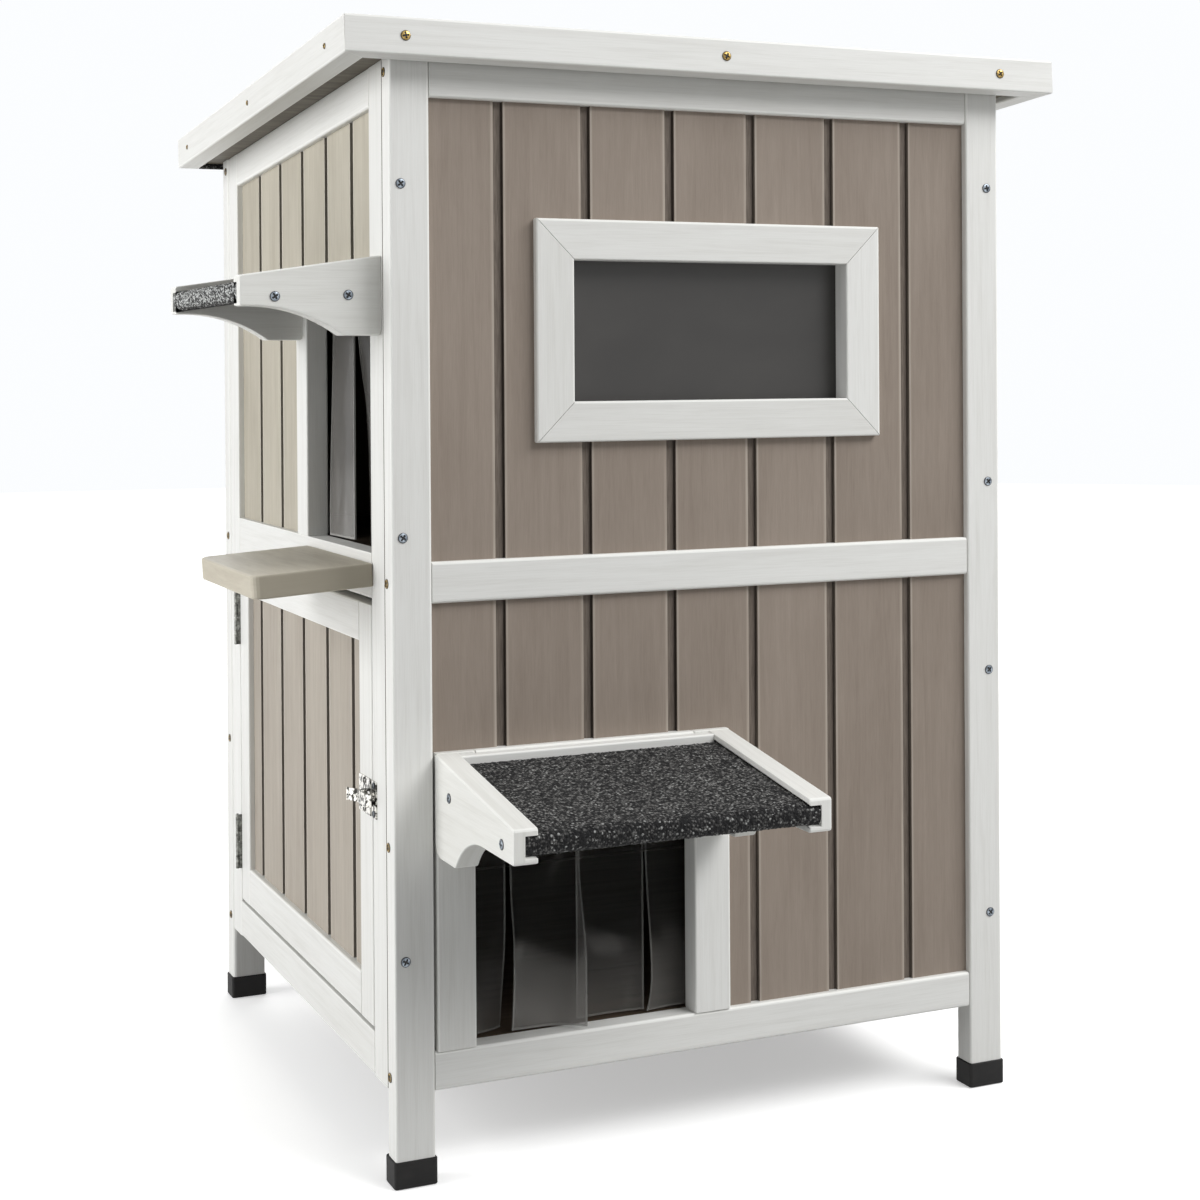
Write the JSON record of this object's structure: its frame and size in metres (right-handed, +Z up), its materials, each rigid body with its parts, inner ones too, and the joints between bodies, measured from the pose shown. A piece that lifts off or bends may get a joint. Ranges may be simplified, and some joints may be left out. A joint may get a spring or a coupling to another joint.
{
  "type": "outdoor cat house",
  "caption": "Outdoor cat house with a lower and an upper room, in white and taupe wood, with a lifting roof, side door, curtained doorways under awnings, window and landing board",
  "frame": {"origin": "centre of the whole's footprint box, on the ground", "axes": "X along the front to the right, Y to the back, Z up"},
  "size_m": [0.6841, 0.6972, 0.862],
  "materials": {
    "white_paint": "white-washed paint, satin",
    "taupe_paint": "taupe stain, matte",
    "khaki_paint": "khaki stain, matte",
    "raw_wood": "plain fir, matte",
    "dark_felt": "mineral roofing felt",
    "black_rubber": "matte",
    "clear_plastic": "soft clear vinyl",
    "smoked_pane": "dark clear sheet",
    "nickel": "nickel plated",
    "zinc": "zinc plated",
    "brass": "yellow passivated"
  },
  "bodies": {
    "house": {"front_left_leg": "white_paint", "front_right_leg": "white_paint", "back_left_leg": "white_paint", "back_right_leg": "white_paint", "front_rails": "white_paint", "front_doorway_jambs": "white_paint", "front_doorway_lintel": "white_paint", "window_frame": "white_paint", "window_beads": "white_paint", "back_rails": "white_paint", "right_stiles": "white_paint", "right_rails": "white_paint", "left_stiles": "white_paint", "left_rails": "white_paint", "side_doorway_jamb": "white_paint", "side_doorway_lintel": "white_paint", "front_awning_brackets": "white_paint", "side_awning_brackets": "white_paint", "awning_battens": "white_paint", "clamp_battens": "white_paint", "front_upper_boards": "taupe_paint", "front_lower_boards": "taupe_paint", "back_boards": "taupe_paint", "right_boards": "taupe_paint", "left_boards": "taupe_paint", "landing_board": "khaki_paint", "upper_floor": "raw_wood", "lower_floor": "raw_wood", "floor_battens": "raw_wood", "awning_boards": "raw_wood", "awning_felts": "dark_felt", "foot_caps": "black_rubber", "strip_ends": "clear_plastic", "window_pane": "smoked_pane", "door_hinge_wall_leaves": "nickel", "latch_keeper": "nickel", "roof_hinge_wall_leaves": "nickel", "zinc_screws": "zinc", "brass_screws": "brass"},
    "door": {"door_stiles": "white_paint", "door_rails": "white_paint", "door_boards": "taupe_paint", "door_hinge_door_leaves": "nickel", "latch_base": "nickel", "latch_screws": "nickel"},
    "latch": {"latch_lever": "nickel"},
    "roof": {"roof_deck": "raw_wood", "roof_battens": "raw_wood", "roof_felt": "dark_felt", "roof_front_fascia": "white_paint", "roof_side_fascias": "white_paint", "roof_hinge_roof_leaves": "nickel", "roof_screws": "brass"},
    "strip_front_1": {"front_strip_1": "clear_plastic"},
    "strip_front_2": {"front_strip_2": "clear_plastic"},
    "strip_front_3": {"front_strip_3": "clear_plastic"},
    "strip_front_4": {"front_strip_4": "clear_plastic"},
    "strip_side_1": {"side_strip_1": "clear_plastic"},
    "strip_side_2": {"side_strip_2": "clear_plastic"},
    "strip_side_3": {"side_strip_3": "clear_plastic"}
  },
  "joints": [
    {"name": "door_hinge", "type": "hinge", "parent": "house", "child": "door", "pos_m": [-0.23845, 0.2814, 0.265], "axis": [0, 0, -1], "range_deg": [0, 170]},
    {"name": "latch_pivot", "type": "hinge", "parent": "door", "child": "latch", "pos_m": [-0.23965, -0.1285, 0.279], "axis": [0, 0, -1], "range_deg": [0, 20], "stiffness_Nm_per_rad": 0.02, "springref_deg": -11.46},
    {"name": "roof_hinge", "type": "hinge", "parent": "house", "child": "roof", "pos_m": [0.03255, 0.3351, 0.80345], "axis": [-1, 0, 0], "range_deg": [0, 75]},
    {"name": "front_strip_1_bend", "type": "hinge", "parent": "house", "child": "strip_front_1", "pos_m": [-0.1687, -0.16755, 0.287], "axis": [1, 0, 0], "range_deg": [0, 60]},
    {"name": "front_strip_2_bend", "type": "hinge", "parent": "house", "child": "strip_front_2", "pos_m": [-0.1069, -0.16755, 0.287], "axis": [1, 0, 0], "range_deg": [-45, 45]},
    {"name": "front_strip_3_bend", "type": "hinge", "parent": "house", "child": "strip_front_3", "pos_m": [-0.0507, -0.16435, 0.287], "axis": [1, 0, 0], "range_deg": [-45, 45]},
    {"name": "front_strip_4_bend", "type": "hinge", "parent": "house", "child": "strip_front_4", "pos_m": [0.0072, -0.16755, 0.287], "axis": [1, 0, 0], "range_deg": [0, 60]},
    {"name": "side_strip_1_bend", "type": "hinge", "parent": "house", "child": "strip_side_1", "pos_m": [-0.2144, 0.00015, 0.6585], "axis": [0, -1, 0], "range_deg": [-60, 60]},
    {"name": "side_strip_2_bend", "type": "hinge", "parent": "house", "child": "strip_side_2", "pos_m": [-0.2144, -0.06765, 0.6585], "axis": [0, -1, 0], "range_deg": [-60, 60]},
    {"name": "side_strip_3_bend", "type": "hinge", "parent": "house", "child": "strip_side_3", "pos_m": [-0.2144, -0.12985, 0.6585], "axis": [0, -1, 0], "range_deg": [0, 45]}
  ],
  "couplings": [
    {"joint": "front_strip_3_bend", "follows": "front_strip_2_bend", "ratio": 1}
  ]
}
